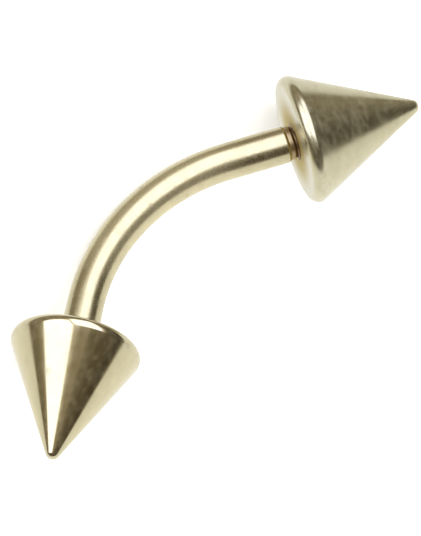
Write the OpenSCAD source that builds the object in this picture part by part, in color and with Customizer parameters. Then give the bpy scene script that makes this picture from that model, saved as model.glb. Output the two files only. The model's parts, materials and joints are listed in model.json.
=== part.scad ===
// Curved eyebrow barbell: a bent round bar with a thread at each end and a pointed cone
// screwed onto each. It lies as it comes to rest by itself, on the rims of both cones and on
// the outside of its bend, with its longest way along X. The origin is on the surface that it
// lies on, under the middle of its box. All sizes are in millimetres.

/* [Bar] */
// Thickness of the bar
bar_d = 1.2; // [0.8:0.1:1.6]
// Radius of the bend, to the middle of the bar
bend_radius = 6.85; // [5:0.05:9]
// Angle that the bar turns through between its two straight ends
bend_angle = 60; // [40:1:80]
// Full thickness of the straight end under the left cone, from the bend to its shoulder
left_straight = 1.95; // [1:0.05:3]
// Full thickness of the straight end under the right cone, from the bend to its shoulder
right_straight = 1.3; // [0.8:0.05:3]
// How much thinner the bar is round its bend, where the bending has drawn it out
bend_thinning = 0.01; // [0.006:0.002:0.02]

/* [Thread] */
// Outside diameter of the thread
thread_d = 1; // [0.6:0.05:1.4]
// Depth of the thread, from its crest to its root
thread_depth = 0.15; // [0.08:0.01:0.18]
// Distance from one turn of the thread to the next
thread_pitch = 0.25; // [0.2:0.01:0.3]
// Length of the threaded stud beyond the shoulder of the bar
stud_length = 2; // [1.4:0.05:2.4]
// Length of the taper from the shoulder down to the thread
shoulder_taper = 0.3; // [0.1:0.01:0.4]
// Chamfer on the free end of the stud
stud_chamfer = 0.1; // [0.05:0.01:0.2]

/* [Cones] */
// Diameter of a cone over its rim
cone_d = 4.2; // [3:0.05:5]
// Height of a cone from its flat back to its tip
cone_h = 4.2; // [3.6:0.05:6]
// Radius of the rounding all round the rim
rim_round = 0.28; // [0.15:0.01:0.4]
// Radius of the rounding at the tip
tip_round = 0.245; // [0.1:0.005:0.4]
// Length of the drill's point at the bottom of the threaded hole
drill_point = 0.3; // [0.1:0.05:0.5]
// How far the left cone stands unscrewed from its seat
left_cone_out = 0.35; // [0.02:0.01:0.6]

/* [Clearances] */
// Space all round between a stud and the hole that it is in
thread_gap = 0.02; // [0.01:0.005:0.04]
// Space between a cone screwed home and the shoulder of the bar
seat_gap = 0.02; // [0.01:0.005:0.05]
// Space between the end of a stud and the bottom of its hole
hole_gap = 0.2; // [0.1:0.05:0.4]

/* [Hidden] */
$fn = 96;

bar_r = bar_d / 2;
thread_r = thread_d / 2;
cone_r = cone_d / 2;
half_bend = bend_angle / 2;
bend_bar_r = (bar_d - bend_thinning) / 2;
// The straight ends start this far inside the bend, so that the two are one piece.
end_overlap = sqrt(bend_thinning * bend_radius) / 3;
hole_r = thread_r + thread_gap;
hole_depth = stud_length + hole_gap;
overcut = 0.1;

// The bar is set out in the plane of its bend: the top of the bend's middle line is at the
// origin, the bend opens towards -Z and the right end points along +X and down.
function bend_point(a) = [bend_radius * sin(a), 0, bend_radius * (cos(a) - 1)];
function end_direction(side) = [side * cos(half_bend), 0, -sin(half_bend)];
function shoulder(side) = bend_point(side * half_bend)
    + end_direction(side) * (side > 0 ? right_straight : left_straight);
function seat(side) = shoulder(side) + end_direction(side) * (side > 0 ? seat_gap : left_cone_out);

// How far each form reaches along a direction of length 1 in that plane's frame.
function rim_reach(side, way) =
    let (along = way * end_direction(side))
    way * (seat(side) + end_direction(side) * rim_round)
        + (cone_r - rim_round) * sqrt(max(0, 1 - along * along)) + rim_round;
function tip_reach(side, way) =
    way * (seat(side) + end_direction(side) * (cone_h - tip_round)) + tip_round;
function bend_reach(way) =
    let (a = max(-half_bend, min(half_bend, atan2(way.x, way.z))))
    way * bend_point(a) + bend_bar_r;
function reach(way) =
    max(rim_reach(1, way), rim_reach(-1, way), tip_reach(1, way), tip_reach(-1, way), bend_reach(way));

// Lying down turns the bar by tilt about X and then by lean about Y. These are the surface's
// own X, Y and up seen from the frame of the bend.
function level_x(tilt, lean) = [cos(lean), sin(lean) * sin(tilt), sin(lean) * cos(tilt)];
function level_y(tilt) = [0, cos(tilt), -sin(tilt)];
function level_up(tilt, lean) = [-sin(lean), cos(lean) * sin(tilt), cos(lean) * cos(tilt)];

// The place between low and high where a rising or falling function passes zero.
function crossing(f, low, high, steps = 30) =
    let (middle = (low + high) / 2)
    steps == 0 ? middle
        : f(low) * f(middle) <= 0 ? crossing(f, low, middle, steps - 1)
        : crossing(f, middle, high, steps - 1);

// The lean puts both rims down equally, and the tilt lets the bend down as far as the rims.
function lean_at(tilt) = crossing(
    function(lean) rim_reach(1, -level_up(tilt, lean)) - rim_reach(-1, -level_up(tilt, lean)), -20, 20);
rest_tilt = crossing(
    function(tilt) let (down = -level_up(tilt, lean_at(tilt))) bend_reach(down) - rim_reach(1, down), 91, 179);
rest_lean = lean_at(rest_tilt);

rest_x = level_x(rest_tilt, rest_lean);
rest_y = level_y(rest_tilt);
rest_up = level_up(rest_tilt, rest_lean);
rest_origin = [(reach(rest_x) - reach(-rest_x)) / 2, (reach(rest_y) - reach(-rest_y)) / 2, -reach(-rest_up)];

// Lays what is set out in the frame of the bend down on the surface.
module at_rest() {
    translate(-rest_origin) rotate([rest_tilt, rest_lean, 0]) children();
}

// Puts what is made along +Z at a point on one end of the bar, pointing out along that end.
module along_end(side, point) {
    translate(point) rotate([0, side * (90 + half_bend), 0]) children();
}

// One end of the bar: full thickness to the shoulder, a taper, and a stud with its thread cut
// as a ring for each turn. It starts just inside the bend and is one turned outline.
module bar_end(straight) {
    root_r = thread_r - thread_depth;
    crest = thread_pitch / 8;
    flank = thread_pitch * 5 / 16;
    thread_start = straight + shoulder_taper;
    thread_end = straight + stud_length - stud_chamfer;
    turns = floor((thread_end - thread_start - crest) / thread_pitch);
    outline = concat(
        [[0, -end_overlap], [bar_r, -end_overlap], [bar_r, straight], [thread_r, thread_start]],
        [for (i = [0:turns - 1], p = [
            [thread_r, crest],
            [root_r, crest + flank],
            [root_r, thread_pitch - flank],
            [thread_r, thread_pitch]])
            [p.x, thread_start + i * thread_pitch + p.y]],
        [[thread_r, thread_end], [thread_r - stud_chamfer, straight + stud_length], [0, straight + stud_length]]);
    rotate_extrude() polygon(outline);
}

// The bend is a part of a ring, and each end carries on from it in a straight line.
module curved_bar() {
    color("#c9b37a") at_rest() {
        translate([0, 0, -bend_radius]) rotate([90, 0, 0]) rotate([0, 0, 90 - half_bend])
            rotate_extrude(angle = bend_angle) translate([bend_radius, 0]) circle(bend_bar_r);
        along_end(1, bend_point(half_bend)) bar_end(right_straight);
        along_end(-1, bend_point(-half_bend)) bar_end(left_straight);
    }
}

// Half of a cone's outline: the straight side touches the rounding of the rim and of the tip.
module cone_outline() {
    rim = [cone_r - rim_round, rim_round];
    tip = [0, cone_h - tip_round];
    span = tip - rim;
    side_angle = atan2(span.y, span.x) - acos((rim_round - tip_round) / norm(span));
    outward = [cos(side_angle), sin(side_angle)];
    polygon([[0, 0], [rim.x, 0], rim, rim + rim_round * outward, tip + tip_round * outward, tip]);
    translate(rim) circle(rim_round);
    intersection() {
        translate(tip) circle(tip_round);
        translate([0, tip.y - tip_round]) square([tip_round, 2 * tip_round]);
    }
}

// A cone with its flat back at the start of Z and a blind hole up its middle, with a mouth that
// widens as the bar's taper does.
module cone() {
    difference() {
        rotate_extrude() cone_outline();
        translate([0, 0, -overcut]) cylinder(r = hole_r, h = hole_depth + overcut);
        translate([0, 0, hole_depth]) cylinder(r1 = hole_r, r2 = 0, h = drill_point);
        cylinder(r1 = bar_r + thread_gap, r2 = hole_r, h = shoulder_taper);
    }
}

module left_cone() {
    color("#d3bf86") at_rest() along_end(-1, seat(-1)) cone();
}

module right_cone() {
    color("#d3bf86") at_rest() along_end(1, seat(1)) cone();
}

curved_bar();
left_cone();
right_cone();
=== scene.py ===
"""A curved eyebrow barbell in pale gold: a bent bar and a pointed cone screwed onto each end."""
import json
import logging
import math
from dataclasses import dataclass, field
from enum import Enum
from typing import Any

import bpy
import numpy as np
from bpy.types import Material, Node, NodeOutputs, NodeSocket, NodeTree, Object
from mathutils import Matrix, Vector


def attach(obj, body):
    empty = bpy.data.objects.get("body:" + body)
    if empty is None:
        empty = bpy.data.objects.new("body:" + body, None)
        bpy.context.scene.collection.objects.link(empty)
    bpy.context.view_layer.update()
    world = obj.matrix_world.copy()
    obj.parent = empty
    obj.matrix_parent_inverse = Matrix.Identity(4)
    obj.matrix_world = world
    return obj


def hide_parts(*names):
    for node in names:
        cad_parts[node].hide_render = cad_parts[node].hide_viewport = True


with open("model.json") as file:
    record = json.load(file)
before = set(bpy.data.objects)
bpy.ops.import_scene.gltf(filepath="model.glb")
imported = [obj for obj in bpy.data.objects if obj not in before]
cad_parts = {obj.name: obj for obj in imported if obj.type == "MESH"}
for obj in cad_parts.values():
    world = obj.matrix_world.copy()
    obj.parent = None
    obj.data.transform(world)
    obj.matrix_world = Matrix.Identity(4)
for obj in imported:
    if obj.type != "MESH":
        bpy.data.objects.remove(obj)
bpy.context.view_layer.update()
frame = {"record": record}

logging.basicConfig(level=logging.INFO, format="%(message)s")
log = logging.getLogger("barbell")

MM = 0.001
TURN = 2 * math.pi
CREASE_ANGLE = math.radians(38)

# A colour is its red, green and blue. A bearing is an azimuth and an elevation, in degrees.
Colour = tuple[float, float, float]
Bearing = tuple[float, float]
WHITE: Colour = (1.0, 1.0, 1.0)
EASED = "SMOOTHSTEP"


class Side(Enum):
    """The two ends of the bar, and which way each lies along the longest side of the jewel."""

    LEFT = -1
    RIGHT = 1


# ---- shapes worked out with numpy


def unit(v: Any) -> np.ndarray:
    """A vector divided by its length, which makes it a direction of length 1."""
    v = np.asarray(v, float)
    return v / np.linalg.norm(v)


def ramp(x: np.ndarray) -> np.ndarray:
    """A smooth step from 0 to 1: three times x squared, less twice x cubed, x held in 0 to 1."""
    x = np.clip(x, 0, 1)
    return x * x * (3 - 2 * x)


def thread_depth_at(phase: np.ndarray, crest: float, flank: float) -> np.ndarray:
    """How deep a thread is at each phase of its turn, as a share of its full depth.

    The crest is flat for its share of the pitch, then a flank goes down, the root is flat, and
    the other flank comes back up. Each corner is eased with the smooth step.

    Args:
        phase: place along the pitch, in turns.
        crest: share of the pitch that the crest takes.
        flank: share of the pitch that each flank takes.

    Returns:
        0 on the crest and 1 in the root.
    """
    away = np.abs((phase % 1.0) - 0.5) * 2
    return 1 - ramp((away - (1 - crest - 2 * flank)) / (2 * flank))


def arc(centre: np.ndarray, radius: float, start: float, end: float, count: int) -> np.ndarray:
    """Points on a part of a circle: centre plus radius times (cosine, sine) of the angle."""
    a = np.linspace(start, end, count)
    return np.stack([centre[0] + radius * np.cos(a), centre[1] + radius * np.sin(a)], axis=1)


def straight(start: Any, end: Any, count: int) -> np.ndarray:
    """Evenly spaced points from start to end, both ends included, with a row for each."""
    t = np.linspace(0, 1, count)[:, None]
    return (1 - t) * np.asarray(start, float) + t * np.asarray(end, float)


def turns(count: int) -> np.ndarray:
    """Evenly spaced turns all round an axis, in radians, the first of them 0."""
    return np.linspace(0, TURN, count, endpoint=False)


def spokes(turn: np.ndarray, first: np.ndarray, second: np.ndarray) -> np.ndarray:
    """Directions round an axis: cosine of the turn times the first, plus sine times the second.

    Args:
        turn: the turns, in radians.
        first: the direction at turn 0, or a row for each ring.
        second: the direction a quarter turn on, or a row for each ring.

    Returns:
        A direction for each turn, for each ring if there are rows.
    """
    cosine, sine = np.cos(turn)[:, None], np.sin(turn)[:, None]
    return cosine * first[..., None, :] + sine * second[..., None, :]


def by_ring(values: np.ndarray, columns: int, first: float, last: float) -> np.ndarray:
    """One value for each point of a closed grid: its ring's value, then those of the poles."""
    return np.concatenate([np.repeat(values, columns), [first, last]])


def own_place(radii: np.ndarray, turn: np.ndarray, along: np.ndarray) -> np.ndarray:
    """Where each point would be if its piece stood straight and upright, in millimetres.

    That is the radius times the cosine and sine of the turn, and the distance along the axis.

    Args:
        radii: rings x columns of distances from the axis.
        turn: each column's turn, in radians.
        along: each ring's distance along the axis.

    Returns:
        A row for each point of the grid, then one for each of its two poles.
    """
    x, y = radii * np.cos(turn), radii * np.sin(turn)
    z = np.broadcast_to(along[:, None], radii.shape)
    points = np.stack([x, y, z], axis=-1).reshape(-1, 3)
    return np.concatenate([points, [[0, 0, along[0]], [0, 0, along[-1]]]]) / MM


def closed_grid(
    name: str, rings: np.ndarray, first: np.ndarray, last: np.ndarray, marks: dict[str, np.ndarray]
) -> Object:
    """A mesh from rings of points that follow each other, closed by a pole at each end.

    Ring i and ring i + 1 are joined by quads, and each end ring is joined to its pole by
    triangles. Everything is worked out as whole arrays.

    Args:
        name: the piece's name.
        rings: array of rings x columns x 3, in metres.
        first: the pole before the first ring.
        last: the pole after the last ring.
        marks: for each attribute, one value for each point: the rings' points, then the poles.

    Returns:
        The linked object, smooth shaded, with creases where its surface turns sharply.
    """
    count, columns = rings.shape[:2]
    points = np.concatenate([rings.reshape(-1, 3), [first], [last]])
    i, j = np.meshgrid(np.arange(count - 1), np.arange(columns), indexing="ij")
    k = (j + 1) % columns
    near, far = i * columns, (i + 1) * columns
    quads = np.stack([near + j, near + k, far + k, far + j], axis=-1)
    column = np.arange(columns)
    after = (column + 1) % columns
    pole = count * columns
    fan_first = np.stack([np.full(columns, pole), after, column], axis=-1)
    base = (count - 1) * columns
    fan_last = np.stack([np.full(columns, pole + 1), base + column, base + after], axis=-1)
    loops = np.concatenate([fan_first.ravel(), quads.ravel(), fan_last.ravel()])
    fan = np.full(columns, 3)
    sizes = np.concatenate([fan, np.full(quads.size // 4, 4), fan])
    starts = np.concatenate([[0], np.cumsum(sizes)[:-1]])
    mesh = bpy.data.meshes.new(name)
    mesh.vertices.add(len(points))
    mesh.vertices.foreach_set("co", points.astype(np.float32).ravel())
    mesh.loops.add(len(loops))
    mesh.loops.foreach_set("vertex_index", loops.astype(np.int32))
    mesh.polygons.add(len(sizes))
    mesh.polygons.foreach_set("loop_start", starts.astype(np.int32))
    mesh.polygons.foreach_set("use_smooth", np.ones(len(sizes), bool))
    for key, values in marks.items():
        kind, entry = ("FLOAT", "value") if values.ndim == 1 else ("FLOAT_VECTOR", "vector")
        attribute = mesh.attributes.new(key, kind, "POINT")
        attribute.data.foreach_set(entry, values.astype(np.float32).ravel())
    mesh.update(calc_edges=True)
    mesh.validate()
    mesh.set_sharp_from_angle(angle=CREASE_ANGLE)
    piece = bpy.data.objects.new(name, mesh)
    bpy.context.scene.collection.objects.link(piece)
    return piece


def faces_outwards(piece: Object) -> bool:
    """Whether a closed mesh encloses a positive volume, which it does when its faces point out.

    The volume is a sixth of the sum, over all triangles, of the first corner times the cross
    product of the other two.

    Args:
        piece: the object to look at.

    Returns:
        True if the faces point outwards.
    """
    mesh = piece.data
    mesh.calc_loop_triangles()
    corners = np.empty(len(mesh.loop_triangles) * 3, np.int32)
    mesh.loop_triangles.foreach_get("vertices", corners)
    points = np.empty(len(mesh.vertices) * 3, np.float32)
    mesh.vertices.foreach_get("co", points)
    a, b, c = points.reshape(-1, 3).astype(float)[corners.reshape(-1, 3)].transpose(1, 0, 2)
    return float((a * np.cross(b, c)).sum()) > 0


# ---- where the CAD puts things


@dataclass(frozen=True)
class Lie:
    """How the jewel lies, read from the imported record.

    Attributes:
        middle: the middle of the bar's bend.
        along: the direction from the left end to the right one.
        inward: the direction from the middle towards the bend's centre.
        ends: the direction that each end of the bar points in.
        seats: the middle of each cone's flat back.
    """

    middle: np.ndarray
    along: np.ndarray
    inward: np.ndarray
    ends: dict[Side, np.ndarray]
    seats: dict[Side, np.ndarray]

    @classmethod
    def from_record(cls, record: dict[str, Any]) -> "Lie":
        """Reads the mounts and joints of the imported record.

        Args:
            record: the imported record.

        Returns:
            The lie, with each place in metres and each direction of length 1.
        """
        mounts = {m["name"]: np.array(m["pos_m"], float) for m in record["mounts"]}
        joints = {j["name"]: j for j in record["behaviour"]["joints"]}
        ends = {s: unit(joints[f"{s.name.lower()}_unscrew"]["axis"]) for s in Side}
        seats = {s: mounts[f"{s.name.lower()}_cone_back"] for s in Side}
        along = unit(ends[Side.RIGHT] - ends[Side.LEFT])
        inward = unit(ends[Side.RIGHT] + ends[Side.LEFT])
        return cls(mounts["piercing_bar"], along, inward, ends, seats)

    def across(self) -> np.ndarray:
        """The direction square to the plane of the bend."""
        return unit(np.cross(self.along, self.inward))


# ---- the bar


@dataclass
class CurvedBar:
    """The bent bar, drawn in one surface: stud, shoulder, straight end, bend, and the same again.

    Attributes:
        bend_slimming: how much smaller the radius is on the bend, and slimming_blend the
            length over which that comes in.
        neck_share: how much of the fall from bar to thread the taper's first step takes.
        step_share: how much of the taper's length each of its steps takes.
        shoulder_margin: how far before the shoulder the rings start to stand close together.
        run_in: the length over which the thread gets deeper, and run_out that over which it
            fades, up to bare_tip from the end of the stud.
        painted_shade_lead: how far before the shoulder the painted shade of the neck and thread
            starts,
        and painted_shade_blend the length over which it comes in.
        edge_width: how far the wear reaches from the shoulder.
    """

    lie: Lie
    radius: float = 0.6 * MM
    bend_radius: float = 6.85 * MM
    half_bend: float = math.radians(30)
    bend_slimming: float = 0.005 * MM
    slimming_blend: float = 0.6 * MM
    straights: dict[Side, float] = field(
        default_factory=lambda: {Side.LEFT: 1.95 * MM, Side.RIGHT: 1.3 * MM}
    )
    taper: float = 0.3 * MM
    neck_share: float = 0.5
    step_share: float = 0.32
    shoulder_margin: float = 0.08 * MM
    thread_radius: float = 0.5 * MM
    thread_depth: float = 0.15 * MM
    pitch: float = 0.25 * MM
    crest_share: float = 0.16
    flank_share: float = 0.29
    run_in: float = 0.125 * MM
    run_out: float = 0.1 * MM
    bare_tip: float = 0.06 * MM
    stud: float = 2.0 * MM
    chamfer: float = 0.1 * MM
    painted_shade_lead: float = 0.045 * MM
    painted_shade_blend: float = 0.21 * MM
    edge_width: float = 0.07 * MM
    columns: int = 112
    bend_rows: int = 70
    straight_rows: int = 12
    shoulder_rows: int = 34
    chamfer_rows: int = 5
    rows_per_pitch: int = 16

    def reach(self, side: Side) -> float:
        """How far the full thickness goes along the bar from the middle of the bend."""
        return self.bend_radius * self.half_bend + self.straights[side]

    def beyond_shoulder(self, s: np.ndarray) -> np.ndarray:
        """How far each distance along the bar lies past the shoulder of its own end."""
        return np.abs(s) - np.where(s < 0, self.reach(Side.LEFT), self.reach(Side.RIGHT))

    def stations(self) -> np.ndarray:
        """Where each ring stands along the bar's middle line, from the middle of the bend.

        Returns:
            A rising array in metres, close together on the studs and shoulders.
        """
        step = self.pitch / self.rows_per_pitch
        half = {}
        for side in Side:
            shoulder = self.reach(side)
            neck, end = shoulder + self.taper, shoulder + self.stud
            bend = np.linspace(0, self.bend_radius * self.half_bend, self.bend_rows)[1:]
            plain = np.linspace(bend[-1], shoulder - self.shoulder_margin, self.straight_rows)[1:]
            tapered = np.linspace(plain[-1], neck, self.shoulder_rows)[1:]
            stud = np.arange(neck + step, end - self.chamfer, step)
            tip = np.linspace(end - self.chamfer, end, self.chamfer_rows)
            half[side] = np.concatenate([bend, plain, tapered, stud, tip])
        return np.concatenate([-half[Side.LEFT][::-1], [0.0], half[Side.RIGHT]])

    def middle_line(self, s: np.ndarray) -> tuple[np.ndarray, np.ndarray, np.ndarray]:
        """The bar's middle line: a part of a circle that goes on straight at both its ends.

        On the circle the point is the middle, plus the radius times the sine of the angle along
        the bar, plus the radius times one less the cosine inwards. Past the circle's end the
        point goes on along the end's direction.

        Args:
            s: distances along the line from the middle of the bend.

        Returns:
            The points, the directions along the line and the directions away from the bend's
            centre, each with a row for each distance.
        """
        angle = np.clip(s / self.bend_radius, -self.half_bend, self.half_bend)
        beyond = s - angle * self.bend_radius
        sine, cosine = np.sin(angle)[:, None], np.cos(angle)[:, None]
        along, inward = self.lie.along, self.lie.inward
        heading = cosine * along + sine * inward
        outward = sine * along - cosine * inward
        on_circle = self.bend_radius * (sine * along + (1 - cosine) * inward)
        return self.lie.middle + on_circle + beyond[:, None] * heading, heading, outward

    def radii(self, s: np.ndarray, turn: np.ndarray) -> np.ndarray:
        """The bar's radius at each distance and turn.

        The bend is a touch slimmer than its ends. Past the shoulder the radius falls to the
        thread in two smooth steps, one at each end of the taper, with a short neck between
        them. The thread's depth follows a screw line: the distance beyond the shoulder divided
        by the pitch, less the turn. The stud's end is chamfered.

        Args:
            s: distances along the bar, as a column.
            turn: turns round the bar, as a row, in radians.

        Returns:
            An array of distances x turns.
        """
        beyond = self.beyond_shoulder(s)
        past_bend = np.abs(s) - self.bend_radius * self.half_bend
        body = self.radius - self.bend_slimming * (1 - ramp(past_bend / self.slimming_blend + 0.5))
        share = beyond / self.taper
        first_step = ramp(share / self.step_share)
        last_step = ramp((share - 1 + self.step_share) / self.step_share)
        fall = self.neck_share * first_step + (1 - self.neck_share) * last_step
        tapered = body - fall * (self.radius - self.thread_radius)
        phase = beyond / self.pitch - np.sign(s) * turn / TURN
        fade_in = ramp((beyond - self.taper) / self.run_in)
        fade_out = ramp((self.stud - self.bare_tip - beyond) / self.run_out)
        groove = self.thread_depth * thread_depth_at(phase, self.crest_share, self.flank_share)
        chamfered = self.thread_radius + (self.stud - self.chamfer - beyond)
        return np.minimum(tapered - groove * fade_in * fade_out, chamfered)

    def build(self) -> Object:
        """Sweeps the radii along the middle line.

        Each point is the middle line's, plus the radius times the cosine of the turn away from
        the bend's centre and the sine of the turn square to the bend.

        Returns:
            The bar, riding on its body in place of the CAD node.
        """
        s = self.stations()
        turn = turns(self.columns)
        points, heading, outward = self.middle_line(s)
        radii = self.radii(s[:, None], turn[None, :])
        around = spokes(turn, outward, np.cross(heading, outward))
        beyond = self.beyond_shoulder(s)
        # This mask gives the neck and stud their thread roughness and the painted shade that
        # darkens them.
        threaded = ramp((beyond + self.painted_shade_lead) / self.painted_shade_blend)
        edge = np.exp(-np.square(beyond / self.edge_width))
        piece = closed_grid(
            "bent_bar",
            points[:, None, :] + radii[..., None] * around,
            points[0],
            points[-1],
            {
                "threaded": by_ring(threaded, self.columns, 1, 1),
                "edge": by_ring(edge, self.columns, 0, 0),
                "place": own_place(radii, turn, s),
            },
        )
        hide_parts("curved_bar")
        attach(piece, "bar")
        return piece


# ---- the cones


@dataclass
class Cone:
    """One pointed cone: straight side, rounded rim and tip, flat turned back, blind tapped hole.

    Attributes:
        mouth_crease: width of the back's narrow first ring, which keeps its edge crisp.
        tap_fade: the length over which the tapped groove fades at each end of the wall.
        rim_band: how far in from the rim's outside the wear may be.
        rim_wear: how far it spreads from the rim, and tip_wear from the tip.
        pole_ring: radius of the ring next to the hole's bottom, and pole_share how much of the
            drill's point is outside it.
        pole_angle: how far short of the tip the last ring stands, in radians.
    """

    lie: Lie
    side: Side
    radius: float = 2.1 * MM
    height: float = 4.2 * MM
    rim_round: float = 0.28 * MM
    tip_round: float = 0.245 * MM
    hole_radius: float = 0.52 * MM
    mouth_radius: float = 0.62 * MM
    mouth_depth: float = 0.3 * MM
    mouth_crease: float = 0.012 * MM
    hole_depth: float = 2.2 * MM
    drill_point: float = 0.3 * MM
    tap_depth: float = 0.1 * MM
    tap_crest: float = 0.3
    tap_flank: float = 0.27
    tap_fade: float = 0.15 * MM
    pitch: float = 0.25 * MM
    rim_band: float = 0.336 * MM
    rim_wear: float = 0.3 * MM
    tip_wear: float = 0.25 * MM
    pole_ring: float = 0.02 * MM
    pole_share: float = 0.96
    pole_angle: float = 0.05
    columns: int = 160
    drill_rows: int = 6
    mouth_rows: int = 5
    back_rows: int = 12
    rim_rows: int = 26
    side_rows: int = 24
    tip_rows: int = 16
    rows_per_pitch: int = 12

    def outline(self) -> tuple[np.ndarray, np.ndarray, np.ndarray]:
        """The cone's outline from the bottom of its hole, round its back and rim, to its tip.

        The side is the straight line that touches the rounding of the rim and of the tip. Its
        square points away from the axis by the angle of the line between the two roundings'
        middles, less the arc cosine of the difference of their radii over their distance. Each
        part starts where the one before it ends, so only the first keeps its first point.

        Returns:
            The outline's points as (across, along), a value for each that is 1 on the hole's
            bottom, tapped wall and mouth, where it also masks the painted shade, and one that is 1
            on the flat back.
        """
        rim = np.array([self.radius - self.rim_round, self.rim_round])
        tip = np.array([0.0, self.height - self.tip_round])
        span = tip - rim
        lean = math.acos((self.rim_round - self.tip_round) / float(np.hypot(*span)))
        square = math.atan2(span[1], span[0]) - lean
        way = np.array([math.cos(square), math.sin(square)])
        wall_rows = round((self.hole_depth - self.mouth_depth) / self.pitch * self.rows_per_pitch)
        drill = (self.pole_ring, self.hole_depth + self.drill_point * self.pole_share)
        bottom = (self.hole_radius, self.hole_depth)
        top = (self.hole_radius, self.mouth_depth)
        mouth = (self.mouth_radius, 0)
        crease = (self.mouth_radius + self.mouth_crease, 0)
        last_angle = math.pi / 2 - self.pole_angle
        parts = [
            straight(drill, bottom, self.drill_rows),
            straight(bottom, top, wall_rows)[1:],
            straight(top, mouth, self.mouth_rows)[1:],
            straight(mouth, crease, 2)[1:],
            straight(crease, (rim[0], 0), self.back_rows)[1:],
            arc(rim, self.rim_round, -math.pi / 2, square, self.rim_rows)[1:],
            straight(rim + self.rim_round * way, tip + self.tip_round * way, self.side_rows)[1:],
            arc(tip, self.tip_round, square, last_angle, self.tip_rows)[1:],
        ]
        sizes = [len(part) for part in parts]
        # The hole's bottom, tapped wall and mouth are 1 here: this also masks the painted shade
        # that darkens them.
        tapped = np.repeat([1.0] * 3 + [0.0] * 5, sizes)
        back = np.repeat([0.0] * 3 + [1.0] * 2 + [0.0] * 3, sizes)
        return np.concatenate(parts), tapped, back

    def build(self) -> Object:
        """Turns the outline round the axis, with a screw line cut into the wall of the hole.

        Each point is the seat, plus its distance along the axis, plus its distance across in the
        direction of its turn. The screw's groove goes outwards into the wall.

        Returns:
            The cone, riding on its body in place of the CAD node.
        """
        profile, tapped, back = self.outline()
        across, along = profile.T
        name = self.side.name.lower()
        axis, seat = self.lie.ends[self.side], self.lie.seats[self.side]
        turn = turns(self.columns)
        inside = np.minimum(along - self.mouth_depth, self.hole_depth - along)
        fade = ramp(inside / self.tap_fade) * tapped
        phase = along[:, None] / self.pitch - turn / TURN
        depth = thread_depth_at(phase, self.tap_crest, self.tap_flank)
        radii = across[:, None] + self.tap_depth * fade[:, None] * depth
        around = spokes(turn, self.lie.across(), np.cross(axis, self.lie.across()))
        rim = np.exp(-np.square((along - self.rim_round) / self.rim_wear))
        rim = rim * (across > self.radius - self.rim_band)
        tip = np.exp(-np.square((along - self.height) / self.tip_wear))
        piece = closed_grid(
            f"{name}_spike",
            seat + along[:, None, None] * axis + radii[..., None] * around,
            seat + (self.hole_depth + self.drill_point) * axis,
            seat + self.height * axis,
            {
                "threaded": by_ring(tapped, self.columns, 1, 0),
                "face": by_ring(back, self.columns, 0, 0),
                "edge": by_ring(np.clip(rim + tip, 0, 1), self.columns, 0, 1),
                "place": own_place(radii, turn, along),
            },
        )
        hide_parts(f"{name}_cone")
        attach(piece, f"{name}_end")
        return piece


# ---- node trees


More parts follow.
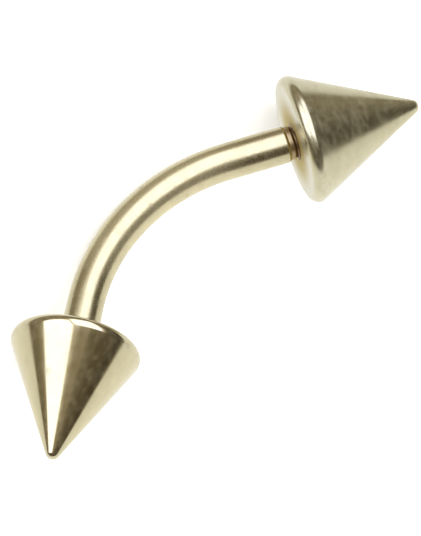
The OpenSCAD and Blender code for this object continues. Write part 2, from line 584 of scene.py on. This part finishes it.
class Sheet:
    """A node tree being drawn up: it puts nodes down and joins their sockets."""

    def __init__(self, tree: NodeTree) -> None:
        """Takes the tree to draw in."""
        self.tree = tree

    def feed(self, node: Node, key: Any, value: Any) -> None:
        """Gives one input of a node its value.

        Args:
            node: the node.
            key: the input's name or number.
            value: a value, or the socket that feeds the input.
        """
        if isinstance(value, NodeSocket):
            self.tree.links.new(value, node.inputs[key])
        else:
            node.inputs[key].default_value = value

    def put(self, kind: str, sockets: dict[Any, Any] | None = None, **settings: Any) -> Node:
        """Adds a node.

        Args:
            kind: the node's type.
            sockets: for each input, by name or number, its value or the socket that feeds it.
            settings: the node's own settings.

        Returns:
            The new node.
        """
        node = self.tree.nodes.new(kind)
        for key, value in settings.items():
            setattr(node, key, value)
        for key, value in (sockets or {}).items():
            self.feed(node, key, value)
        return node

    def math(self, operation: str, *values: Any) -> NodeSocket:
        """One number worked out from others, by a Math node's operation."""
        return self.put("ShaderNodeMath", dict(enumerate(values)), operation=operation).outputs[0]

    def plus(self, base: Any, value: Any, share: Any) -> NodeSocket:
        """The base plus the value times the share."""
        return self.math("ADD", base, self.math("MULTIPLY", value, share))

    def vector(self, operation: str, first: Any, second: Any, output: int = 0) -> NodeSocket:
        """A place or a number worked out from two places, by a Vector Math node's operation."""
        pair = {0: first, 1: second}
        return self.put("ShaderNodeVectorMath", pair, operation=operation).outputs[output]

    def facing(self, way: Any, direction: np.ndarray) -> NodeSocket:
        """How far one direction goes along another, which is their dot product."""
        return self.vector("DOT_PRODUCT", way, tuple(direction), output=1)

    def off_axis(self, parts: NodeOutputs) -> NodeSocket:
        """The distance from the upright axis: the root of x squared plus y squared."""
        squares = [self.math("MULTIPLY", part, part) for part in (parts[0], parts[1])]
        return self.math("SQRT", self.math("ADD", *squares))

    def step(
        self, value: Any, low: Any, high: Any, start: Any = 0.0, end: Any = 1.0, easing: str = EASED
    ) -> NodeSocket:
        """Takes a number from start to end while the value goes from low to high.

        Args:
            value: the socket to read.
            low: where the step starts.
            high: where the step ends.
            start: the result up to low.
            end: the result from high on.
            easing: the form of the step in between.

        Returns:
            The result's socket.
        """
        names = ("Value", "From Min", "From Max", "To Min", "To Max")
        sockets = dict(zip(names, (value, low, high, start, end)))
        return self.put("ShaderNodeMapRange", sockets, interpolation_type=easing).outputs["Result"]

    def noise(
        self, place: Any, scale: Any, detail: float = 2.0, roughness: float = 0.5
    ) -> NodeSocket:
        """A smooth random value, about 0.5 on average, with scale bumps to a unit of place."""
        sockets = {"Vector": place, "Scale": scale, "Detail": detail, "Roughness": roughness}
        return self.put("ShaderNodeTexNoise", sockets).outputs["Fac"]

    def blend(self, share: Any, first: Any, second: Any) -> NodeSocket:
        """Mixes two numbers; the share says how much of the second one there is."""
        return self.put("ShaderNodeMix", {0: share, 2: first, 3: second}).outputs[0]

    def tint(self, share: Any, first: Any, second: Any) -> NodeSocket:
        """Mixes two colours.

        Args:
            share: how much of the second one there is.
            first: a colour or its socket.
            second: a colour or its socket.

        Returns:
            The mixed colour's socket.
        """
        node = self.put("ShaderNodeMix", {0: share}, data_type="RGBA")
        for key, value in ((6, first), (7, second)):
            self.feed(node, key, (*value, 1) if isinstance(value, tuple) else value)
        return node.outputs[2]


def group(
    name: str, inputs: dict[str, Any], outputs: list[str]
) -> tuple[Sheet, NodeOutputs, Node]:
    """Starts a node group that several finishes share.

    Args:
        name: the group's name.
        inputs: each input's name and first value, besides Place; three numbers make a vector.
        outputs: each output's name; all are numbers.

    Returns:
        The sheet to draw in, the inputs' sockets and the node that takes the outputs.
    """
    tree = bpy.data.node_groups.new(name, "ShaderNodeTree")
    for key, value in {"Place": (0.0, 0.0, 0.0), **inputs}.items():
        kind = "NodeSocketVector" if isinstance(value, tuple) else "NodeSocketFloat"
        tree.interface.new_socket(key, in_out="INPUT", socket_type=kind).default_value = value
    for key in outputs:
        tree.interface.new_socket(key, in_out="OUTPUT", socket_type="NodeSocketFloat")
    sheet = Sheet(tree)
    return sheet, sheet.put("NodeGroupInput").outputs, sheet.put("NodeGroupOutput")


# ---- finishes


class Effects:
    """The wear and machining marks that the finishes share, each a node group built once."""

    def __init__(self) -> None:
        """Builds the groups."""
        self.turning = self.turning_lines()
        self.drawing = self.drawn_lines()
        self.mottle = self.plating_mottle()
        self.specks = self.dark_specks()
        self.wear = self.edge_wear()

    def turning_lines(self) -> NodeTree:
        """Fine rings left by the lathe.

        The height is a noise of one number only, the distance out from the axis plus the
        distance along it, which rises all the way from the hole to the tip. A weak slow noise
        of the place makes the rings waver and fade.

        Returns:
            A group that turns a place into a Height, with so many Lines to a millimetre.
        """
        sheet, given, out = group("turning_lines", {"Lines": 12.0, "Waver": 0.02}, ["Height"])
        place = given["Place"]
        parts = sheet.put("ShaderNodeSeparateXYZ", {0: place}).outputs
        line = sheet.math("ADD", sheet.off_axis(parts), parts[2])
        line = sheet.plus(line, sheet.noise(place, scale=0.9, detail=1.0), given["Waver"])
        sockets = {"W": line, "Scale": given["Lines"], "Detail": 4.0, "Roughness": 0.6}
        rings = sheet.put("ShaderNodeTexNoise", sockets, noise_dimensions="1D").outputs["Fac"]
        fade = sheet.step(sheet.noise(place, scale=1.3), 0.3, 0.7, start=0.35)
        sheet.feed(out, "Height", sheet.math("MULTIPLY", rings, fade))
        return sheet.tree

    def drawn_lines(self) -> NodeTree:
        """Fine lines along a drawn and polished bar: noise that is stretched along the bar.

        Returns:
            A group that turns a place into a Height, with so many Lines to a millimetre.
        """
        sheet, given, out = group("drawn_lines", {"Lines": 22.0}, ["Height"])
        stretched = sheet.vector("MULTIPLY", given["Place"], (1.0, 1.0, 0.05))
        lines = sheet.noise(stretched, given["Lines"], detail=3.0, roughness=0.6)
        sheet.feed(out, "Height", lines)
        return sheet.tree

    def plating_mottle(self) -> NodeTree:
        """Uneven plating: soft cloudy patches with a finer grain inside them.

        Returns:
            A group that turns a place into a Patch, a Grain and a Haze. The haze is a second,
            finer set of patches, read a few millimetres off so that it isn't like the first.
        """
        inputs = {"Patches": 2.2, "Stretch": (1.0, 1.0, 1.0)}
        sheet, given, out = group("plating_mottle", inputs, ["Patch", "Grain", "Haze"])
        place = sheet.vector("MULTIPLY", given["Place"], given["Stretch"])
        patch = sheet.noise(place, given["Patches"], detail=4.0, roughness=0.62)
        finer = sheet.math("MULTIPLY", given["Patches"], 1.4)
        aside = sheet.vector("ADD", place, (3.0, 7.0, 2.0))
        cloud = sheet.noise(aside, finer, detail=5.0, roughness=0.68)
        sheet.feed(out, "Patch", sheet.step(patch, 0.32, 0.68))
        sheet.feed(out, "Grain", sheet.noise(given["Place"], scale=24.0, roughness=0.6))
        sheet.feed(out, "Haze", sheet.step(cloud, 0.44, 0.64))
        return sheet.tree

    def dark_specks(self) -> NodeTree:
        """Scattered pits and smudges: small blots round random points, ragged by a fine noise.

        Each point has a random value of its own, and only those with a high one get a blot.

        Returns:
            A group that turns a place into a Mask, from the Count of points to a millimetre and
            the blots' Size.
        """
        sheet, given, out = group("dark_specks", {"Count": 1.7, "Size": 0.22}, ["Mask"])
        place = given["Place"]
        sockets = {"Vector": place, "Scale": given["Count"], "Randomness": 1.0}
        cells = sheet.put("ShaderNodeTexVoronoi", sockets).outputs
        ragged = sheet.noise(place, scale=6.0, detail=3.0, roughness=0.7)
        reach = sheet.plus(cells["Distance"], sheet.math("SUBTRACT", ragged, 0.5), 0.5)
        inside = sheet.step(reach, 0.0, given["Size"], start=1.0, end=0.0)
        shown = sheet.step(cells["Color"], 0.45, 0.6)
        sheet.feed(out, "Mask", sheet.math("MULTIPLY", inside, shown))
        return sheet.tree

    def edge_wear(self) -> NodeTree:
        """Where the plating is rubbed thin: the piece's own edge value, broken up by a noise.

        Returns:
            A group that turns a place and its Edge value into a Mask of so strong an Amount.
        """
        sheet, given, out = group("edge_wear", {"Edge": 0.0, "Amount": 0.5}, ["Mask"])
        broken = sheet.noise(given["Place"], scale=5.0, detail=4.0, roughness=0.65)
        rubbed = sheet.math("MULTIPLY", given["Edge"], sheet.step(broken, 0.35, 0.7))
        sheet.feed(out, "Mask", sheet.math("MULTIPLY", rubbed, given["Amount"]))
        return sheet.tree


@dataclass(frozen=True)
class GoldFinish:
    """Pale gold plating over steel, with its wear and its machining marks.

    Attributes:
        turned: how deep the lathe's rings are, and drawn how deep the drawn lines are.
        haze: how much of the mirror the clouds in the plating take away.
        mottled: how much rougher the patches are, and grain_share of that the grain.
        speck_rough: how much rougher the specks are, and so on for threads, face and the reflection
            halo.
        tone_spread: how far the patches go towards the gold times patch_shade.
        reflection_halo_span: radii in mm between which the halo round the hole fades: a painted
            reflection of the bar in darker gold, also rougher.
        dulled: how much of the mirror is gone on the dull stretch of the bar.
        dull_span: where that stretch starts, is full, ebbs and ends, in mm from the bar's middle.
        shift: moves the marks, so that the pieces don't share them.
    """

    name: str
    gold: Colour
    roughness: float
    turned: float
    haze: float
    speck_strength: float
    drawn: float = 0.0
    thin_gold: Colour = (0.74, 0.70, 0.56)
    stained: Colour = (0.34, 0.28, 0.19)
    # Painted shade: the dark brown of the threads, the hole's mouth and the bar's neck into the
    # cone.
    thread_painted_shade: Colour = (0.47, 0.34, 0.225)
    face_ring: Colour = (0.72, 0.69, 0.55)
    # Painted reflection: the darker gold round the hole on a cone's flat back stands for the bar
    # mirrored there.
    face_painted_reflection: Colour = (0.58, 0.475, 0.19)
    mottled: float = 0.06
    grain_share: float = 0.5
    speck_count: float = 1.4
    speck_size: float = 0.34
    speck_rough: float = 0.12
    speck_pit: float = 0.5
    thread_rough: float = 0.05
    face_rough: float = 0.14
    reflection_halo_rough: float = 0.25
    tone_spread: float = 0.35
    patch_shade: float = 0.8
    painted_shade_share: float = 0.8
    reflection_halo_span: tuple[float, float] = (0.7, 1.75)
    dulled: float = 0.0
    dull_span: tuple[float, float, float, float] = (-4.6, -2.6, 1.4, 3.4)
    patches: float = 2.2
    stretch: tuple[float, float, float] = (1.0, 1.0, 1.0)
    wear: float = 0.4
    bump_height: float = 0.001 * MM
    shift: tuple[float, float, float] = (0.0, 0.0, 0.0)

    def material(self, effects: Effects) -> Material:
        """Builds the material.

        The piece's own place attribute, in millimetres with the axis upright, drives every mark.

        Args:
            effects: the shared groups.

        Returns:
            The finished material.
        """
        material = bpy.data.materials.new(self.name)
        material.use_nodes = True
        material.node_tree.nodes.clear()
        sheet = Sheet(material.node_tree)

        def mark(name: str, output: str = "Fac") -> NodeSocket:
            """One of the piece's own values."""
            return sheet.put("ShaderNodeAttribute", attribute_name=name).outputs[output]

        own = mark("place", "Vector")
        edge, threaded, face = (mark(name) for name in ("edge", "threaded", "face"))
        place = sheet.vector("ADD", own, self.shift)

        def effect(tree: NodeTree, **sockets: Any) -> NodeOutputs:
            """The outputs of one shared group, with its inputs set."""
            return sheet.put("ShaderNodeGroup", {"Place": place, **sockets}, node_tree=tree).outputs

        mottle = effect(effects.mottle, Patches=self.patches, Stretch=self.stretch)
        patch, grain = mottle["Patch"], mottle["Grain"]
        specks = effect(effects.specks, Count=self.speck_count, Size=self.speck_size)["Mask"]
        worn = effect(effects.wear, Edge=edge, Amount=self.wear)["Mask"]
        parts = sheet.put("ShaderNodeSeparateXYZ", {0: own}).outputs
        # Painted reflection: a ring round the hole where the flat back gets a darker gold, standing
        # for the bar mirrored in it, and more roughness.
        reflection_halo = sheet.step(sheet.off_axis(parts), *self.reflection_halo_span, start=1.0, end=0.0)

        darker = tuple(self.patch_shade * c for c in self.gold)
        tone = sheet.tint(sheet.math("MULTIPLY", patch, self.tone_spread), self.gold, darker)
        tone = sheet.tint(sheet.math("MULTIPLY", specks, self.speck_strength), tone, self.stained)
        tone = sheet.tint(worn, tone, self.thin_gold)
        # Painted shade: the threads, the hole's mouth and the bar's neck into the cone are darkened
        # towards a dark brown.
        painted_shade = sheet.math("MULTIPLY", threaded, self.painted_shade_share)
        tone = sheet.tint(painted_shade, tone, self.thread_painted_shade)
        # The flat back gets a paler gold, and round the hole the painted reflection of the bar.
        tone = sheet.tint(face, tone, sheet.tint(reflection_halo, self.face_ring, self.face_painted_reflection))

        rough = sheet.plus(self.roughness, patch, self.mottled)
        rough = sheet.plus(rough, grain, self.mottled * self.grain_share)
        rough = sheet.plus(rough, specks, self.speck_rough)
        rough = sheet.plus(rough, threaded, self.thread_rough)
        rough = sheet.plus(rough, face, self.face_rough)
        rough = sheet.plus(rough, sheet.math("MULTIPLY", reflection_halo, face), self.reflection_halo_rough)

        starts, full, ebbs, ends = self.dull_span
        dull = sheet.step(parts[2], ebbs, ends, start=1.0, end=0.0)
        dull = sheet.math("MULTIPLY", sheet.step(parts[2], starts, full), dull)
        unspecked, off_face = (sheet.math("SUBTRACT", 1.0, mask) for mask in (specks, face))
        haze = sheet.math("MULTIPLY", mottle["Haze"], self.haze)
        haze = sheet.math("MULTIPLY", haze, sheet.math("MULTIPLY", unspecked, off_face))
        haze = sheet.plus(haze, dull, self.dulled)

        height = sheet.math("MULTIPLY", effect(effects.turning)["Height"], self.turned)
        height = sheet.plus(height, effect(effects.drawing)["Height"], self.drawn)
        height = sheet.plus(height, specks, -self.speck_pit)
        sockets = {"Strength": 1.0, "Distance": self.bump_height, "Height": height}
        bump = sheet.put("ShaderNodeBump", sockets)
        shader = sheet.put(
            "ShaderNodeBsdfPrincipled",
            {
                "Base Color": tone,
                "Metallic": sheet.math("SUBTRACT", 1.0, haze),
                "Roughness": rough,
                "Normal": bump.outputs["Normal"],
            },
        )
        sheet.put("ShaderNodeOutputMaterial", {"Surface": shader.outputs[0]})
        return material


BAR_GOLD = GoldFinish(
    "polished_bar_gold",
    gold=(0.662, 0.59, 0.368),
    roughness=0.21,
    turned=0.0,
    haze=0.015,
    speck_strength=0.3,
    speck_count=2.6,
    drawn=0.25,
    dulled=0.105,
)
CONE_GOLDS = {
    Side.LEFT: GoldFinish(
        "speckled_cone_gold",
        gold=(0.63, 0.58, 0.385),
        roughness=0.195,
        turned=0.3,
        haze=0.055,
        speck_strength=0.2,
        tone_spread=0.2,
        patches=2.4,
        stretch=(0.6, 0.6, 1.2),
        shift=(5.0, 2.0, 1.0),
    ),
    Side.RIGHT: GoldFinish(
        "mirror_cone_gold",
        gold=(0.675, 0.605, 0.385),
        roughness=0.10,
        turned=0.12,
        haze=0.037,
        speck_strength=0.08,
        mottled=0.05,
        tone_spread=0.2,
        patches=3.0,
        stretch=(1.0, 1.0, 0.6),
    ),
}


# ---- stage, light and camera


def sight(azimuth: float, elevation: float) -> np.ndarray:
    """The direction of a bearing: azimuth 0 is towards -Y and 90 towards +X, as for the cameras."""
    a, e = math.radians(azimuth), math.radians(elevation)
    return np.array([math.sin(a) * math.cos(e), -math.cos(a) * math.cos(e), math.sin(e)])


@dataclass(frozen=True)
class Panel:
    """A bright panel of the studio as the jewel sees it.

    Attributes:
        corners: the bearings of its corners, in order.
        fades: for each edge, how far inside it the light is still rising.
        light: how bright it is.
        outset: how far outside its edges the light starts.
        glow_width: how far outside them the glow starts.
        half_fade: the soft border of the half of the sky that the panel is in.
    """

    corners: tuple[Bearing, ...]
    fades: tuple[float, ...]
    light: float
    outset: float = 0.015
    glow_width: float = 0.2
    half_fade: float = 0.1

    def seen(self, sheet: Sheet, way: NodeSocket) -> tuple[NodeSocket, NodeSocket]:
        """How much of the panel and of the dim glow round it there is in each direction.

        A direction is on the panel when it is on the inner side of every plane through the jewel
        and two neighbouring corners. How far it is inside is the direction times the plane's own.

        Args:
            sheet: the tree to draw in.
            way: the direction's socket.

        Returns:
            The panel's share and the glow's share.
        """
        places = [sight(*corner) for corner in self.corners]
        middle = unit(sum(places))
        panel = glow = sheet.step(sheet.facing(way, middle), 0.0, self.half_fade)
        for corner, after, fade in zip(places, places[1:] + places[:1], self.fades):
            plane = unit(np.cross(corner, after))
            inside = sheet.facing(way, plane if plane @ middle > 0 else -plane)
            panel = sheet.math("MULTIPLY", panel, sheet.step(inside, -self.outset, fade))
            glow = sheet.math("MULTIPLY", glow, sheet.step(inside, -self.glow_width, 0.0))
        return panel, glow


@dataclass
class Studio:
    """The pale floor, the soft light and the camera.

    Attributes:
        aim: the point that the camera looks at.
        open_side: the bearing of the room's middle; the sweep is the other half.
        sweep: the sweep's light at the border of the two, and at its far side.
        room: the room's light halfway, and how much it rises towards the bright side.
        dark_reach: dot products with the dark side's direction where the dark starts and is
            full, and warm_reach the same for the warm side.
        uneven: how much the noise adds to the room and takes from it.
        dome: the even light on all that isn't mirrored.
    """

    floor_radius: float = 0.6
    floor_columns: int = 96
    floor_colour: Colour = (0.9, 0.9, 0.895)
    azimuth: float = 35.6767
    elevation: float = 56.5264
    roll: float = 104.3617
    distance: float = 550.008 * MM
    aim: tuple[float, float, float] = (-0.03567 * MM, 1.07794 * MM, 2.10968 * MM)
    lens: float = 1158.18
    sensor: float = 36.0
    clip: tuple[float, float] = (0.05, 2.0)
    open_side: Bearing = (0.8, 43.3)
    sweep_edge: float = -0.004
    sweep_soft: float = 0.05
    sweep: tuple[float, float] = (0.88, 1.12)
    room: tuple[float, float] = (0.10, 0.214)
    room_least: float = 0.075
    room_tint: Colour = (1.14, 0.97, 0.69)
    bright_side: Bearing = (-9.4, 12.4)
    dark_side: Bearing = (-101.8, 41.9)
    dark_reach: tuple[float, float] = (0.78, 0.95)
    dark_depth: float = 0.05
    warm_side: Bearing = (145.4, 50.5)
    warm_reach: tuple[float, float] = (0.7, 0.97)
    warm_tint: Colour = (1.23, 0.96, 0.69)
    uneven: float = 0.35
    panel_tint: Colour = (0.86, 0.90, 1.06)
    glow: float = 0.13
    panels: tuple[Panel, ...] = (
        Panel(
            corners=(
                (53.0, -2.1), (25.8, -9.2), (9.9, -4.3), (-7.1, 7.8), (-14.3, 14.6), (48.0, 47.1),
            ),
            fades=(0.015, 0.015, 0.015, 0.03, 0.02, 0.015),
            light=2.4,
        ),
        Panel(
            corners=(
                (36.3, 48.9), (-98.2, 73.8), (-68.8, 44.9), (-65.2, 8.8), (-52.7, 6.7),
                (-25.9, 5.0), (-14.5, 18.0),
            ),
            fades=(0.03, 0.06, 0.06, 0.03, 0.03, 0.03, 0.02),
            light=2.2,
        ),
    )
    dome: float = 2.4

    def floor(self) -> Object:
        """The round pale floor, seen through from below and left out of the metal's reflections.

        Returns:
            The floor.
        """
        turn = turns(self.floor_columns)
        points = np.stack([np.cos(turn), np.sin(turn), 0 * turn], axis=1) * self.floor_radius
        mesh = bpy.data.meshes.new("floor")
        mesh.from_pydata(points.tolist(), [], [list(range(len(points)))])
        mesh.update()
        floor = bpy.data.objects.new("floor", mesh)
        bpy.context.scene.collection.objects.link(floor)
        material = bpy.data.materials.new("pale_floor")
        material.use_nodes = True
        material.node_tree.nodes.clear()
        sheet = Sheet(material.node_tree)
        pale = sheet.put("ShaderNodeBsdfDiffuse", {"Color": (*self.floor_colour, 1)})
        clear = sheet.put("ShaderNodeBsdfTransparent")
        below = sheet.put("ShaderNodeNewGeometry").outputs["Backfacing"]
        sides = {0: below, 1: pale.outputs[0], 2: clear.outputs[0]}
        both = sheet.put("ShaderNodeMixShader", sides)
        sheet.put("ShaderNodeOutputMaterial", {"Surface": both.outputs[0]})
        mesh.materials.append(material)
        floor.visible_glossy = False
        return floor

    def light(self) -> None:
        """The world: what the metal mirrors, and an even dome for everything else.

        The metal sees a white sweep on one half and a dim room on the other. A direction is in
        the sweep where its product with the open side's is below the border. The room has a
        bright, a dark and a warm side, a slow noise makes it uneven, and the panels stand in it.
        """
        world = bpy.data.worlds.new("studio")
        bpy.context.scene.world = world
        world.use_nodes = True
        world.cycles.sampling_method = "NONE"
        world.node_tree.nodes.clear()
        sheet = Sheet(world.node_tree)
        way = sheet.put("ShaderNodeTexCoord").outputs["Generated"]
        bright, dark, warm, height = (
            sheet.facing(way, sight(*side))
            for side in (self.bright_side, self.dark_side, self.warm_side, self.open_side)
        )
        border = (self.sweep_edge - self.sweep_soft, self.sweep_edge + self.sweep_soft)
        white = sheet.step(height, *border, start=1.0, end=0.0)
        sweep = sheet.step(height, 0.0, -1.0, *self.sweep, easing="LINEAR")
        dim = sheet.plus(self.room[0], bright, self.room[1])
        dim = sheet.math("SUBTRACT", dim, sheet.step(dark, *self.dark_reach, end=self.dark_depth))
        slow = sheet.noise(way, scale=4.5, detail=3.0, roughness=0.6)
        varied = sheet.step(slow, 0.25, 0.75, start=1 - self.uneven, end=1 + self.uneven)
        seen = sheet.math("MULTIPLY", sheet.math("MAXIMUM", dim, self.room_least), varied)
        shares = [panel.seen(sheet, way) for panel in self.panels]
        for _, glow in shares:
            seen = sheet.plus(seen, glow, self.glow)
        seen = sheet.blend(white, seen, sweep)
        on_panel = 0.0
        for panel, (share, _) in zip(self.panels, shares):
            seen = sheet.blend(share, seen, panel.light)
            on_panel = sheet.math("MAXIMUM", on_panel, share)
        colour = sheet.tint(sheet.step(warm, *self.warm_reach), self.room_tint, self.warm_tint)
        colour = sheet.tint(white, colour, WHITE)
        colour = sheet.tint(on_panel, colour, self.panel_tint)
        mirrored = sheet.put("ShaderNodeLightPath").outputs["Is Glossy Ray"]
        strength = sheet.blend(mirrored, self.dome, seen)
        colour = sheet.tint(mirrored, WHITE, colour)
        background = sheet.put("ShaderNodeBackground", {"Color": colour, "Strength": strength})
        sheet.put("ShaderNodeOutputWorld", {"Surface": background.outputs[0]})

    def camera(self) -> Object:
        """The camera, at the photograph's angle.

        It stands back from the point that it looks at, by the distance, in the direction of its
        azimuth and elevation, and is rolled about its own line of sight.

        Returns:
            The camera object, made the scene's own.
        """
        data = bpy.data.cameras.new("camera")
        data.lens = self.lens
        data.sensor_width = self.sensor
        data.clip_start, data.clip_end = self.clip
        camera = bpy.data.objects.new("camera", data)
        bpy.context.scene.collection.objects.link(camera)
        back = Vector(sight(self.azimuth, self.elevation))
        a, r = math.radians(self.azimuth), math.radians(self.roll)
        level = Vector((math.cos(a), math.sin(a), 0))
        right = level * math.cos(r) + back.cross(level) * math.sin(r)
        place = Matrix((right, back.cross(right), back)).transposed().to_4x4()
        place.translation = Vector(self.aim) + back * self.distance
        camera.matrix_world = place
        bpy.context.scene.camera = camera
        return camera


def report(name: str, piece: Object) -> None:
    """Logs how many faces a piece has and whether they point outwards."""
    log.info("%s: %d faces, outwards %s", name, len(piece.data.polygons), faces_outwards(piece))


def main() -> None:
    """Builds each piece in order and reports it."""
    lie = Lie.from_record(frame["record"])
    effects = Effects()
    bar = CurvedBar(lie).build()
    bar.data.materials.append(BAR_GOLD.material(effects))
    report("bent bar", bar)
    for side in Side:
        cone = Cone(lie, side).build()
        cone.data.materials.append(CONE_GOLDS[side].material(effects))
        report(f"{side.name.lower()} cone", cone)
    studio = Studio()
    studio.floor()
    studio.light()
    studio.camera()
    bpy.context.scene.view_settings.view_transform = "Standard"


if __name__ == "__main__":
    main()
